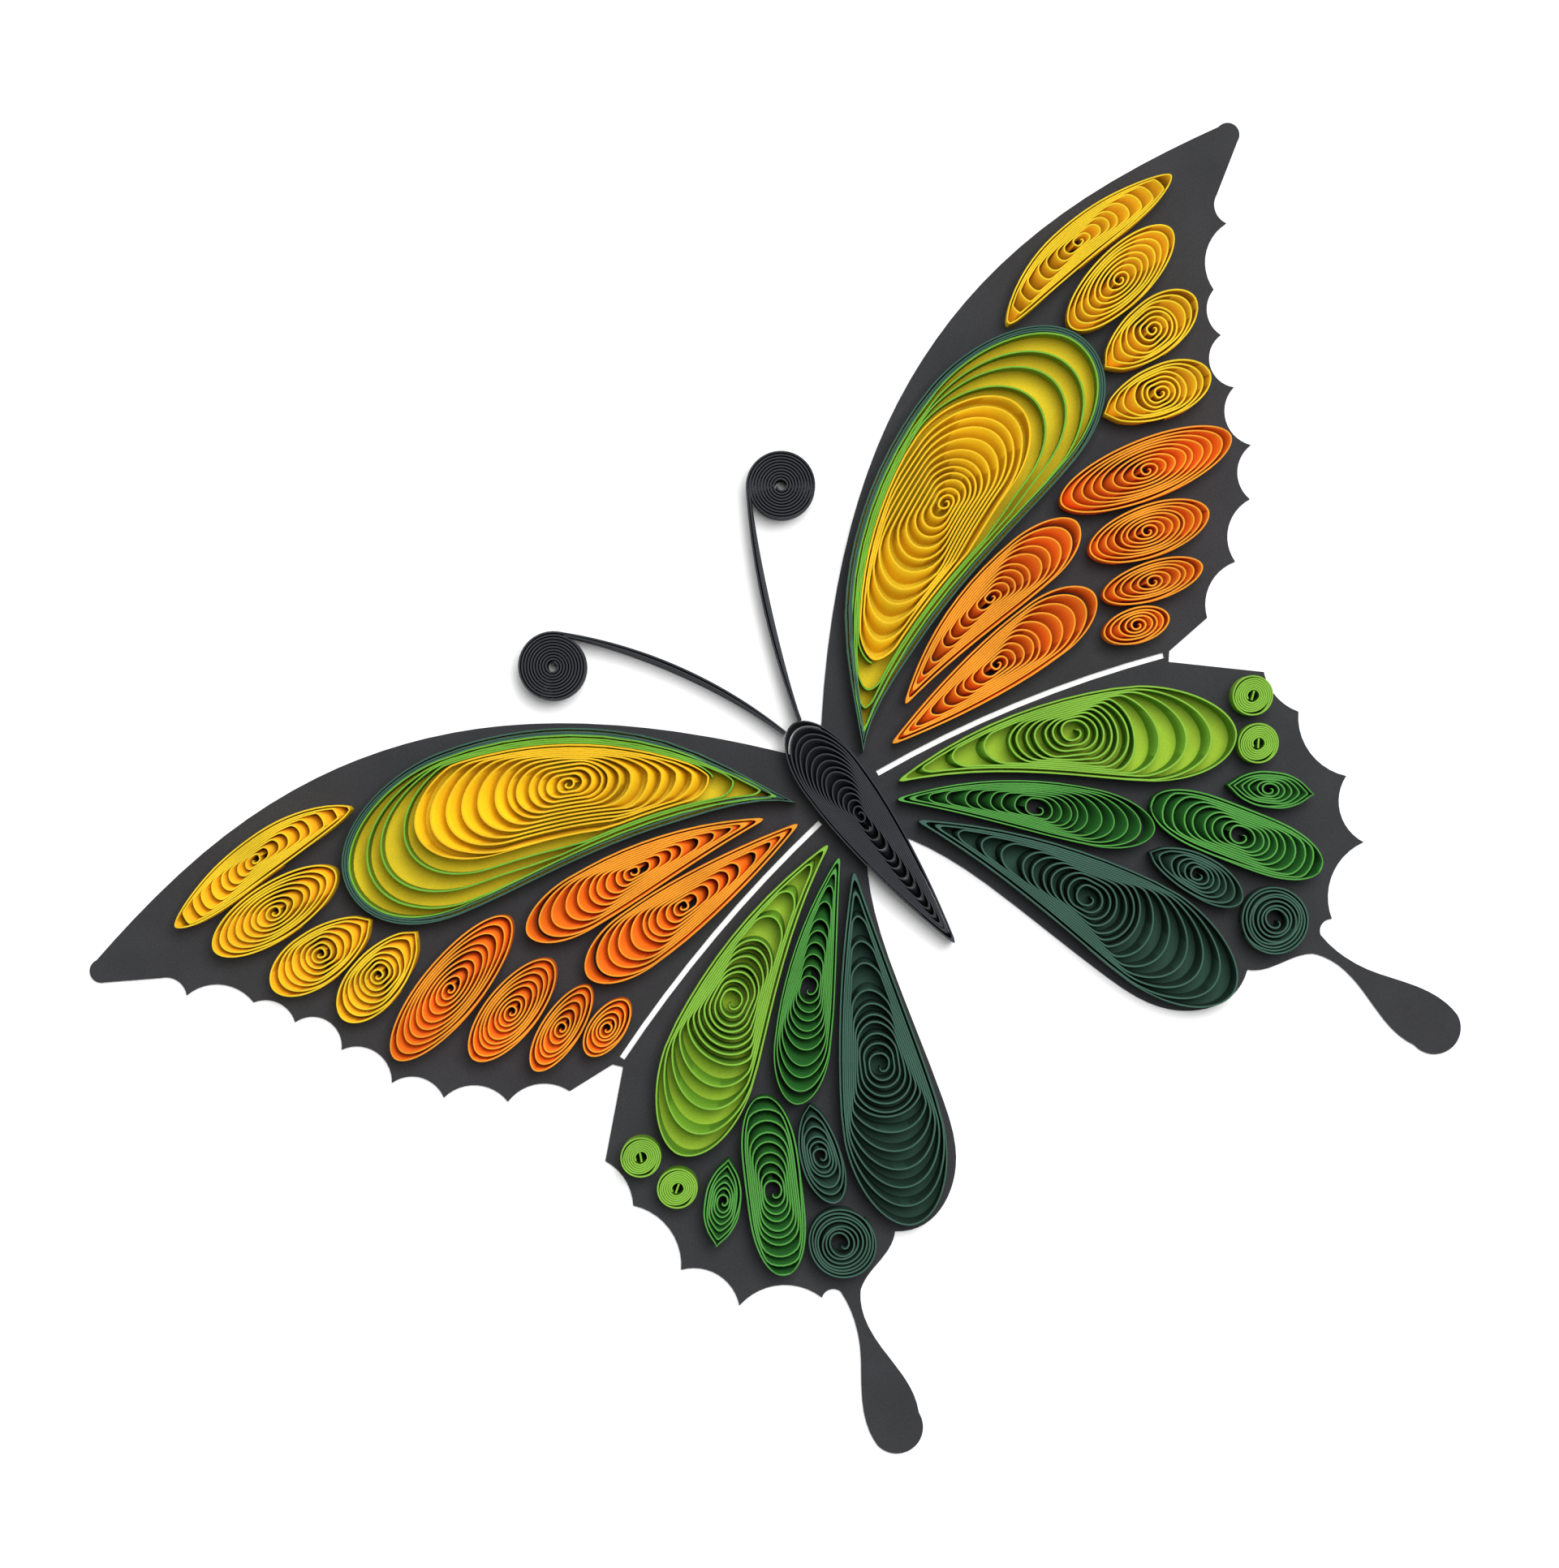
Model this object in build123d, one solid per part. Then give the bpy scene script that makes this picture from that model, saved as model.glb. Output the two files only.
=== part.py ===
from build123d import *
import math
import os
from collections import namedtuple

# Quilled paper butterfly: rolled paper coils standing on edge on a cut black card.
# Millimetres. The card lies in XY with its underside at Z = 0, the head points along +Y,
# and the origin is under the middle of the body, on the butterfly's axis.

# Papers
card_thickness = 0.3       # black card of the wings
strip_width = 3.0          # quilling strip, which is the height of every coil
ply = 0.16                 # one layer of strip
plies = 2                  # layers that lie pressed together in each modelled turn
turn_wall = ply * plies
nesting_gap = 0.08         # between papers that are rolled or glued against each other
backing_thickness = 0.16   # coloured paper under the coils with wide gaps

# Coils
needle_hole = 0.5          # hole that the rolling needle leaves
eye_radius = needle_hole / 2 + turn_wall
glued_share = 0.25         # share of the first turn that is glued to the outer band
disc_diameter = 3.0        # tight light green discs
disc_gap = 0.45            # between the two discs of a wing
border_plies = 3           # dark green layers round each great drop
border_wall = ply * border_plies
core_share = 0.67          # size of the yellow coil inside each great drop, between its eye and the wrap

# Antennae
curl_diameter = 5.1
curl_turns = 4
curl_hole = 1.0            # open middle of the curl
curl_pitch = (curl_diameter - curl_hole) / 2 / curl_turns

# Facets in one turn of paper
coil_facets = 12
large_facets = 14
great_facets = 20
disc_facets = 20
hole_facets = 8
curl_facets = 10
stem_facets = 6

# Wing card, right half: the outline from the head to the tail
head_notch = (0.0, 4.2)
leading_edge = [(10.0, 14.95), (20.0, 21.75), (30.0, 25.05), (37.8, 25.65), (45.0, 25.0)]
wing_tip = [(50.6, 23.95), (51.65, 23.15), (51.1, 22.3)]
tip_bay = [(47.6, 20.1), (46.75, 19.1)]
fore_cusps = [(46.9, 18.0), (43.3, 14.7), (41.75, 11.75), (40.25, 8.15), (38.75, 4.05),
              (36.35, 0.95), (32.8, -2.05), (28.75, -4.1)]
fore_bays = [1.05, 0.75, 1.3, 1.25, 0.95, 1.05, 0.9]
wing_notch = [(25.1, -4.4), (24.6, -5.0)]
hind_cusps = [(29.7, -9.7), (30.0, -13.5), (30.0, -19.3), (28.15, -23.9), (23.0, -27.0)]
hind_bays = [0.5, 1.1, 1.1, 1.2]
tail_root = [(22.25, -26.85), (21.65, -27.45)]
tail_outer_side = [(22.05, -29.6), (22.85, -31.4), (24.5, -33.8), (25.75, -36.0), (26.15, -38.0)]
tail_end = (24.5, -39.65)
tail_inner_side = [(22.35, -37.9), (21.7, -35.5), (21.7, -33.0), (21.4, -30.0), (20.4, -28.2)]
lobe_notch = [(18.7, -27.5), (17.3, -27.15), (15.9, -26.3)]
lobe_edge = [(13.2, -27.15), (9.7, -25.3), (7.35, -20.5), (5.0, -12.0)]
tail_notch = (0.0, -1.5)

# Slots between the fore and hind wings, cut by hand
SLOTS = {
    "left": [(-2.6, 0.7), (-13.3, -1.2), (-24.3, -4.45)],
    "right": [(2.85, 1.1), (13.1, -0.75), (24.6, -4.4)],
}
slot_width = 0.4

# How the half width of a coil falls off towards an end: 1 - share ** power, to the root
Taper = namedtuple("Taper", "power root")
PINCHED = Taper(1.3, 1.0)
FULL = Taper(1.6, 1.0)
SPEAR = Taper(1.8, 1.0)
POINTED = Taper(2.0, 0.68)
ROUND = Taper(2.0, 0.5)
BLUNT = Taper(3.0, 0.5)

# Where a pressed coil is widest, where its eye lies, and how it ends
Form = namedtuple("Form", "widest eye back front")
GREAT_DROP = Form(0.76, 0.49, FULL, ROUND)
WIDE_DROP = Form(0.74, 0.52, PINCHED, ROUND)
LONG_DROP = Form(0.77, 0.54, SPEAR, ROUND)
DROP = Form(0.60, 0.52, POINTED, ROUND)
LEAF = Form(0.52, 0.50, POINTED, POINTED)
OVAL = Form(0.52, 0.50, ROUND, ROUND)
STADIUM = Form(0.50, 0.49, BLUNT, BLUNT)

# Each coil runs from a start, its point where it has one, to an end, and its middle bows to the front
Place = namedtuple("Place", "start end bow")
Coil = namedtuple("Coil", "name form width turns facets left right")
COILS = [
    Coil("yellow_tip_leaf", LEAF, 3.15, 1.25, coil_facets,
         Place((-29.05, 21.7), (-44.3, 22.35), 0.8), Place((29.55, 21.45), (45.4, 23.05), 1.0)),
    Coil("yellow_oval", OVAL, 4.2, 1.5, coil_facets,
         Place((-32.6, 18.7), (-43.1, 19.3), 0.0), Place((33.0, 18.55), (43.1, 20.0), 0.0)),
    Coil("yellow_upper_drop", DROP, 4.05, 1.5, coil_facets,
         Place((-32.7, 14.4), (-41.35, 14.6), 0.0), Place((33.3, 14.8), (41.55, 15.1), 0.0)),
    Coil("yellow_lower_drop", DROP, 3.95, 1.5, coil_facets,
         Place((-30.6, 11.75), (-38.6, 9.85), 0.0), Place((31.25, 12.15), (39.2, 10.0), 0.0)),
    Coil("orange_first_oval", OVAL, 4.45, 1.5, coil_facets,
         Place((-24.6, 8.6), (-37.3, 5.35), 0.0), Place((24.9, 8.85), (37.7, 5.45), 0.0)),
    Coil("orange_second_oval", OVAL, 3.9, 1.5, coil_facets,
         Place((-24.0, 4.25), (-32.8, 1.95), 0.0), Place((24.5, 4.8), (33.2, 2.1), 0.0)),
    Coil("orange_third_oval", OVAL, 2.95, 1.25, coil_facets,
         Place((-22.95, 1.2), (-29.75, -1.3), 0.0), Place((23.35, 1.65), (30.5, -0.8), 0.0)),
    Coil("orange_fourth_oval", OVAL, 2.7, 1.0, coil_facets,
         Place((-21.35, -1.25), (-26.0, -2.7), 0.0), Place((21.75, -0.6), (26.4, -2.3), 0.0)),
    Coil("orange_upper_drop", LONG_DROP, 4.2, 1.5, coil_facets,
         Place((-5.3, 3.2), (-24.3, 6.9), 0.7), Place((7.0, 3.75), (25.1, 7.15), 0.9)),
    Coil("orange_lower_drop", LONG_DROP, 4.5, 1.5, coil_facets,
         Place((-3.55, 1.6), (-22.65, 1.85), 0.0), Place((4.55, 2.2), (23.05, 2.25), 0.0)),
    Coil("light_green_drop", WIDE_DROP, 7.1, 2.25, large_facets,
         Place((-2.65, -0.8), (-25.1, -12.2), 1.3), Place((3.25, -0.15), (25.35, -11.8), 1.5)),
    Coil("green_drop", LONG_DROP, 4.2, 1.5, coil_facets,
         Place((-2.65, -1.85), (-16.15, -14.45), 0.5), Place((2.45, -1.0), (16.45, -14.0), 0.75)),
    Coil("dark_green_drop", WIDE_DROP, 7.4, 2.25, large_facets,
         Place((-2.55, -3.2), (-14.55, -26.45), 0.4), Place((2.85, -3.0), (14.15, -26.75), 1.1)),
    Coil("green_leaf", LEAF, 2.75, 1.0, coil_facets,
         Place((-22.2, -14.65), (-26.8, -19.35), 0.0), Place((22.4, -14.45), (27.15, -18.85), 0.0)),
    Coil("green_oval", STADIUM, 4.2, 1.5, coil_facets,
         Place((-17.65, -12.55), (-24.05, -23.9), 0.0), Place((17.4, -12.2), (24.4, -23.4), 0.0)),
    Coil("dark_green_small_drop", DROP, 3.1, 1.25, coil_facets,
         Place((-15.25, -15.05), (-18.05, -21.9), 0.2), Place((15.1, -15.05), (18.4, -21.9), 0.2)),
    Coil("dark_green_round", OVAL, 4.9, 1.5, coil_facets,
         Place((-19.3, -21.9), (-19.4, -27.05), 0.0), Place((19.35, -21.9), (19.5, -26.85), 0.0)),
]
GREAT = Coil("great_drop", GREAT_DROP, 11.8, 2.0, great_facets,
             Place((-2.95, 2.6), (-32.3, 18.35), 3.35), Place((2.65, 2.6), (33.0, 18.25), 3.35))
core_turns = 1.5
BODY = Coil("body", LONG_DROP, 4.7, 1.5, large_facets, None, Place((0.0, -12.4), (0.0, 7.65), 0.0))
# The lower disc of a wing lies in the corner between the light green drop and the green leaf,
# which opens this way, and the upper disc lies in this direction from it
Pair = namedtuple("Pair", "corner opening upward")
DISCS = {"left": Pair((-24.05, -14.25), 180.0, 103.0), "right": Pair((23.6, -13.45), 0.0, 60.0)}
disc_corner = 75.0         # angle of that corner
BACKED = ("light_green_drop", "dark_green_drop")

# Antennae: the middle of each curl, the angle at which the stem runs into it, and where it leaves the head
Antenna = namedtuple("Antenna", "curl joint root")
ANTENNAE = {"left": Antenna((-11.35, 21.2), 45.0, 18.0), "right": Antenna((9.6, 21.85), 147.0, -13.0)}


def blend(first, second, share):
    return first + (second - first) * share


def stepped(point, degrees, distance):
    """The point at a distance from another one, in a direction."""
    angle = math.radians(degrees)
    return (point[0] + distance * math.cos(angle), point[1] + distance * math.sin(angle))


# One closed line round a coil, in stations along its centreline
Loop = namedtuple("Loop", "tail middle head half back front")


class Centreline:
    """The bowed line that a coil's turns lie along."""

    def __init__(self, place):
        self.start = place.start
        run = (place.end[0] - place.start[0], place.end[1] - place.start[1])
        self.length = math.hypot(*run)
        self.direction = (run[0] / self.length, run[1] / self.length)
        # The bow always goes to the leading edge, which is to the right of a left coil's run
        self.front = -1 if run[0] < 0 else 1
        self.bow = place.bow

    def point(self, along, across):
        share = min(max(along / self.length, 0.0), 1.0)
        # The bow is fullest at two fifths of the length
        bend = share * (1 - share) ** 1.5 / (0.4 * 0.6 ** 1.5)
        sideways = across + self.front * self.bow * bend
        x = self.start[0] + along * self.direction[0] - sideways * self.direction[1]
        y = self.start[1] + along * self.direction[1] + sideways * self.direction[0]
        return (x, y)


def outer_loop(coil, line):
    form = coil.form
    return Loop(0.0, form.widest * line.length, line.length, coil.width / 2, form.back, form.front)


def eye_loop(form, line):
    eye = form.eye * line.length
    return Loop(eye - eye_radius, eye, eye + eye_radius, eye_radius, ROUND, ROUND)


def between(inner, outer, level):
    """The loop part way from the inner one, at level 0, to the outer one, at level 1."""
    def mixed(first, second):
        return [blend(a, b, level) for a, b in zip(first, second)]
    back = Taper(*mixed(inner.back, outer.back))
    front = Taper(*mixed(inner.front, outer.front))
    return Loop(*mixed(inner[:4], outer[:4]), back, front)


def inset(loop, depth):
    """The loop moved in by a thickness of paper, which at a sharp end reaches further back."""
    def reach_lost(taper, reach):
        sharpness = 2 * taper.root - 1
        return depth * (1 + (math.hypot(loop.half, reach) / loop.half - 1) * sharpness)
    tail = loop.tail + reach_lost(loop.back, loop.middle - loop.tail)
    head = loop.head - reach_lost(loop.front, loop.head - loop.middle)
    return loop._replace(tail=tail, head=head, half=loop.half - depth)


def loop_point(line, loop, turn):
    """The point of the loop at a share of a turn, counted from its tail."""
    angle = math.pi + 2 * math.pi * turn
    forward = math.cos(angle)
    taper = loop.front if forward >= 0 else loop.back
    reach = loop.head - loop.middle if forward >= 0 else loop.middle - loop.tail
    # Stations crowd at a round end and are even along a sharp one
    even = 1 - 2 * math.acos(max(-1.0, min(1.0, forward))) / math.pi
    share = blend(forward, even, 2 * taper.root - 1)
    half = loop.half * max(0.0, 1 - abs(share) ** taper.power) ** taper.root
    side = 1 if math.sin(angle) >= 0 else -1
    return line.point(loop.middle + reach * share, side * half)


def loop_points(line, loop, facets):
    return [loop_point(line, loop, i / facets) for i in range(facets)]


def groove_points(line, outer, eye, turns, facets, wall):
    """The gap between turns, which winds in from the glued end of the first turn to the eye."""
    def ribbon(turn, depth):
        level = 1 - min(max(0.0, turn - glued_share) / (turns - glued_share), 1.0)
        loop = between(eye, outer, level)
        return loop_point(line, inset(loop, wall * level + depth), turn)
    first = math.ceil(glued_share * facets)
    last = round(turns * facets)
    band_face = inset(outer, wall)
    far_side = [loop_point(line, band_face, glued_share)]
    far_side += [loop_point(line, band_face, i / facets) for i in range(first, facets + 1)]
    far_side += [ribbon(i / facets - 1, wall) for i in range(facets, last + facets + 1)]
    near_side = [ribbon(i / facets, 0.0) for i in range(last, first, -1)]
    return far_side + near_side


def polygon(points):
    distinct = [p for i, p in enumerate(points) if math.dist(p, points[i - 1]) > 1e-6]
    return Wire.make_polygon([Vector(*p) for p in distinct], close=True)


def standing(outside, openings, bottom, height=strip_width):
    """A paper shape standing on edge: a plane outline with openings, extruded up."""
    return Pos(0, 0, bottom) * extrude(Face(outside, openings), height, dir=(0, 0, 1))


def rolled(line, outer, eye, turns, facets, bottom, wall=turn_wall):
    outside = polygon(loop_points(line, outer, facets))
    groove = polygon(groove_points(line, outer, eye, turns, facets, wall))
    return standing(outside, [groove], bottom)


def backing(line, loop, facets):
    return standing(polygon(loop_points(line, loop, facets)), [], card_thickness, backing_thickness)


def coil_nodes(coil, side):
    line = Centreline(getattr(coil, side))
    outer = outer_loop(coil, line)
    bottom = card_thickness
    nodes = {}
    if coil.name in BACKED:
        nodes[f"{side}_{coil.name}_backing"] = backing(line, outer, coil.facets)
        bottom += backing_thickness
    eye = eye_loop(coil.form, line)
    nodes[f"{side}_{coil.name}"] = rolled(line, outer, eye, coil.turns, coil.facets, bottom)
    return nodes


def great_drop_nodes(side):
    """Dark green border, light green wrap and yellow core, rolled one on the other on a backing."""
    line = Centreline(getattr(GREAT, side))
    bottom = card_thickness + backing_thickness
    outer = outer_loop(GREAT, line)
    inner_face = inset(outer, border_wall)
    wrap = inset(inner_face, nesting_gap)
    eye = eye_loop(GREAT.form, line)
    core = between(eye, wrap, core_share)._replace(back=GREAT.form.back)
    round_core = inset(core, -nesting_gap - ply)
    border = standing(polygon(loop_points(line, outer, great_facets)),
                      [polygon(loop_points(line, inner_face, great_facets))], bottom)
    return {
        f"{side}_great_drop_backing": backing(line, outer, great_facets),
        f"{side}_great_drop_border": border,
        f"{side}_great_drop_wrap": rolled(line, wrap, round_core, GREAT.turns, great_facets, bottom, ply),
        f"{side}_great_drop_core": rolled(line, core, eye, core_turns, great_facets, bottom),
    }


def disc_nodes(side):
    """Two strips rolled tight and left round, with the needle's hole in their middle."""
    pair = DISCS[side]
    ring = RegularPolygon(disc_diameter / 2, disc_facets) - RegularPolygon(needle_hole / 2, hole_facets)
    disc = extrude(ring, strip_width)
    reach = disc_diameter / 2 / math.sin(math.radians(disc_corner / 2))
    lower = stepped(pair.corner, pair.opening, reach)
    upper = stepped(lower, pair.upward, disc_diameter + disc_gap)
    return {
        f"{side}_light_green_lower_disc": Pos(*lower, card_thickness) * disc,
        f"{side}_light_green_upper_disc": Pos(*upper, card_thickness) * disc,
    }


def ribbon_outline(points, thickness):
    """The two sides of a strip that follows the points."""
    sides = ([], [])
    for i, (x, y) in enumerate(points):
        before = points[max(i - 1, 0)]
        after = points[min(i + 1, len(points) - 1)]
        run = math.dist(before, after)
        normal = ((before[1] - after[1]) / run, (after[0] - before[0]) / run)
        for points_of_side, way in zip(sides, (0.5, -0.5)):
            points_of_side.append((x + way * thickness * normal[0], y + way * thickness * normal[1]))
    return sides[0] + sides[1][::-1]


def antenna(side, body_line, head):
    """A strip on edge that leaves the head, bends outwards and rolls up into a tight curl."""
    plan = ANTENNAE[side]
    turning = 1 if side == "left" else -1
    root = loop_point(body_line, inset(head, -nesting_gap - turn_wall / 2), 0.5 + plan.root / 360)
    radius = (curl_diameter - turn_wall) / 2 + curl_pitch / 4

    def curl_point(turn):
        return stepped(plan.curl, plan.joint + turning * 360 * turn, radius - curl_pitch * turn)

    # The stem is the arc from the head that runs into the curl without a bend
    start = curl_point(0)
    chord = math.dist(root, start)
    chord_angle = math.degrees(math.atan2(start[1] - root[1], start[0] - root[0]))
    bend = plan.joint + turning * 90 - chord_angle
    points = []
    for i in range(stem_facets):
        share = i / stem_facets
        reach = chord * math.sin(math.radians(bend * share)) / math.sin(math.radians(bend))
        points.append(stepped(root, chord_angle - bend * (1 - share), reach))
    points += [curl_point(i / curl_facets) for i in range(curl_turns * curl_facets + 1)]
    return standing(polygon(ribbon_outline(points, turn_wall)), [], 0.0)


def bays(cusps, depths):
    """Scallops of the wing's edge, each an arc that bites in between two cusps."""
    return [SagittaArc(cusps[i], cusps[i + 1], -depths[i]) for i in range(len(depths))]


def wing_card():
    half_outline = [
        Spline(head_notch, *leading_edge, wing_tip[0]),
        ThreePointArc(*wing_tip),
        Line(wing_tip[2], tip_bay[0]),
        ThreePointArc(tip_bay[0], tip_bay[1], fore_cusps[0]),
        *bays(fore_cusps, fore_bays),
        Line(fore_cusps[-1], wing_notch[0]),
        Line(wing_notch[0], wing_notch[1]),
        Line(wing_notch[1], hind_cusps[0]),
        *bays(hind_cusps, hind_bays),
        ThreePointArc(hind_cusps[-1], *tail_root),
        Spline(tail_root[1], *tail_outer_side),
        ThreePointArc(tail_outer_side[-1], tail_end, tail_inner_side[0]),
        Spline(*tail_inner_side),
        Spline(tail_inner_side[-1], *lobe_notch),
        Spline(lobe_notch[-1], *lobe_edge, tail_notch),
    ]
    right = Curve() + half_outline
    outline = right + mirror(right, Plane.YZ)
    flat = make_face(outline)
    for points in SLOTS.values():
        flat -= trace(ThreePointArc(*points), slot_width)
    return extrude(flat, card_thickness)


nodes = {"wing_card": wing_card()}
for side in ("left", "right"):
    for coil in COILS:
        nodes.update(coil_nodes(coil, side))
    nodes.update(great_drop_nodes(side))
    nodes.update(disc_nodes(side))
body_line = Centreline(BODY.right)
body_loop = outer_loop(BODY, body_line)
nodes["body"] = rolled(body_line, body_loop, eye_loop(BODY.form, body_line), BODY.turns, BODY.facets,
                       card_thickness)
for side in ("left", "right"):
    nodes[f"{side}_antenna"] = antenna(side, body_line, body_loop)

os.makedirs("parts", exist_ok=True)
for name, shape in nodes.items():
    export_step(shape, f"parts/{name}.step")
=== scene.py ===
import bmesh
import bpy
import math
import random
from collections import namedtuple
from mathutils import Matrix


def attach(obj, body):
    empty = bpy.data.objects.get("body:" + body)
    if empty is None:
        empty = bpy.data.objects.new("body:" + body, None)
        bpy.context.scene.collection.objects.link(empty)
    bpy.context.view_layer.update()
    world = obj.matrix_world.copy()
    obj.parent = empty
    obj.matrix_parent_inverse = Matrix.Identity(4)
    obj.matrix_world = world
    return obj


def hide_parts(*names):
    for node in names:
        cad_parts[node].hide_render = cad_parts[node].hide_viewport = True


# Quilled paper butterfly: every coil wound from one strip of paper.
# The tables are in millimetres, as the solids are, and meshes are made in metres.
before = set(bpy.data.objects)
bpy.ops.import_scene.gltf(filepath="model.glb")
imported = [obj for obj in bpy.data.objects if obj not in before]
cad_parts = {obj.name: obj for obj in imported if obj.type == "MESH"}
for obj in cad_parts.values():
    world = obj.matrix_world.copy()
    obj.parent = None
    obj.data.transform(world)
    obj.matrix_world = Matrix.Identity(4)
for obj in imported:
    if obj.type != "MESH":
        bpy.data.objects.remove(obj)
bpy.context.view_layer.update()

MM = 0.001
SEED = 7

# Papers
CARD = 0.3                # thickness of the wing card
BACKING = 0.16            # coloured paper under the coils with wide gaps
STRIP = 3.0               # height of the strips
PLY = 0.13                # thickness of a strip
PACKED = 1.13             # pitch of turns that are pressed together, in plies
NIBBLE = 0.02             # rounding of a strip's cut edge
WAVE = 0.05               # how unevenly the cut edges stand, downwards from the top
INSIDE = 0.02             # how far the paper stays inside the outline of its coil
SHEET_INSIDE = 3 * INSIDE  # how far the sheet under a coil stays inside the same outline
SMOOTH = 38               # degrees between two faces up to which they are shaded as one
SECTION = 6               # points round a section of a strip

# Coils
EYE = 0.42                # largest outer radius of the innermost turn
OPEN_EYE = 0.8            # the same in the green coils
EYE_SHARE = 0.36          # the same as a share of a narrow coil's half width
EYE_STRETCH = 1.15        # how much longer than wide the eye is
EYE_SCATTER = 0.015       # how far the eyes lie from their stations, as a share of the coil's length
ASIDE_SCATTER = 0.1       # how far the eyes lie aside
HOOK = 0.62               # turns that the strip's end bends in across the eye
HOOK_REACH = 0.75         # how far it bends in, as a share of the eye's radius
START = 0.22              # where the strip's glued end lies, in turns from the tail
FEATHER = 0.12            # the torn end grows to full thickness over this share of a turn
TORN = 0.4                # thickness at the torn edge, as a share
FIRST_TAIL = 1.0          # turn from which the tails of the turns are spaced
FIRST_HEAD = 0.5          # turn from which their heads are spaced
FIRST_LEAN = 0.6          # lean of the first turn's head, as a share of that of the others
TAIL_LEAN = 0.75          # how far a turn's tail leans out, as a share of how far its head leans in
INNERMOST_FOOT = 0.9      # how near to the strip's end a foot may lie, as a share of the turns left to it
NARROWEST = 0.1           # half width of the narrowest pinched turn
END_REACH = 1.0           # how far from a turn's end the room for its arc is read
LEAST_CURVED = 0.4        # share of a quarter turn's points that its arc takes at least
CORNER = 0.15             # difference of two widths over which the corner between them is rounded
FACETS = 64               # facets in a turn
SHEET_FACETS = 128        # facets round a coil's backing
BOW_PEAK = 0.4            # where a coil's line bows most, as a share of its length

# Unevenness: how far the turns' ends stray in the middle of a coil, the periods of the wobbles in turns,
# or in points of a path, and the ranges from which a wobble's height and the spread of its period are drawn
RAGGED = 0.16
RISE_PERIODS = (2.7, 0.9)
TAIL_PERIODS = (2.2, 5.0)
HEAD_PERIODS = (2.6, 4.1)
PATH_PERIODS = (9.0, 31.0)
WOBBLE_HEIGHTS = (0.6, 1.0)
WOBBLE_SPREAD = (0.85, 1.15)

# How the half width falls off towards an end: 1 - share ** power, to the root
Taper = namedtuple("Taper", "power root")
PINCHED = Taper(1.3, 1.0)
FULL = Taper(1.6, 1.0)
SPEAR = Taper(1.8, 1.0)
SHARP = Taper(2.2, 1.0)
SLIM = Taper(2.0, 0.6)
POINTED = Taper(2.0, 0.68)
ROUND = Taper(2.0, 0.5)
BLUNT = Taper(3.0, 0.5)

# How the turns lie: a share of them is tight, in the core of the coil's reach, their ends are arcs of a
# length in half widths, the outer ones may be pressed together along the sides, and the strip leans back
# towards the coil's tail by a share of the gap between turns
Wind = namedtuple("Wind", "tight core tail_arc head_arc press lean")
WHOLE = 20.0              # an arc as long as half of its turn
LOOSE = Wind(0.62, 0.32, 1.0, WHOLE, 1.0, 0.25)
FREE = Wind(0.52, 0.31, 1.0, WHOLE, 1.0, 0.25)
PRESSED = Wind(0.50, 0.40, 0.9, WHOLE, 1.0, 0.95)
NESTED = Wind(0.50, 0.48, WHOLE, WHOLE, 0.7, 0.95)
LONG_NESTED = Wind(0.50, 0.45, 1.3, 1.3, 1.0, 0.95)
GOLDEN = Wind(0.50, 0.38, 1.2, WHOLE, 0.0, 0.75)
DENSE = Wind(0.50, 0.50, 1.2, WHOLE, 0.85, 1.1)
EVEN = Wind(0.50, 0.50, WHOLE, WHOLE, 0.0, 0.0)

# Where a coil is widest, where its eye lies, its tapers, and how it is wound
Form = namedtuple("Form", "widest eye back front wind")
GREAT_DROP = Form(0.76, 0.49, FULL, ROUND, EVEN)
LOOSE_DROP = Form(0.74, 0.535, PINCHED, ROUND, LOOSE)
FREE_DROP = Form(0.74, 0.535, PINCHED, ROUND, FREE)
LONG_DROP = Form(0.77, 0.54, SPEAR, ROUND, PRESSED)
DROP = Form(0.60, 0.52, POINTED, ROUND, PRESSED)
LONG_LEAF = Form(0.52, 0.50, SLIM, SLIM, LONG_NESTED)
LEAF = Form(0.52, 0.50, SHARP, SHARP, LONG_NESTED)
OVAL = Form(0.52, 0.50, ROUND, ROUND, NESTED)
STADIUM = Form(0.50, 0.52, BLUNT, BLUNT, LONG_NESTED)

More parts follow.
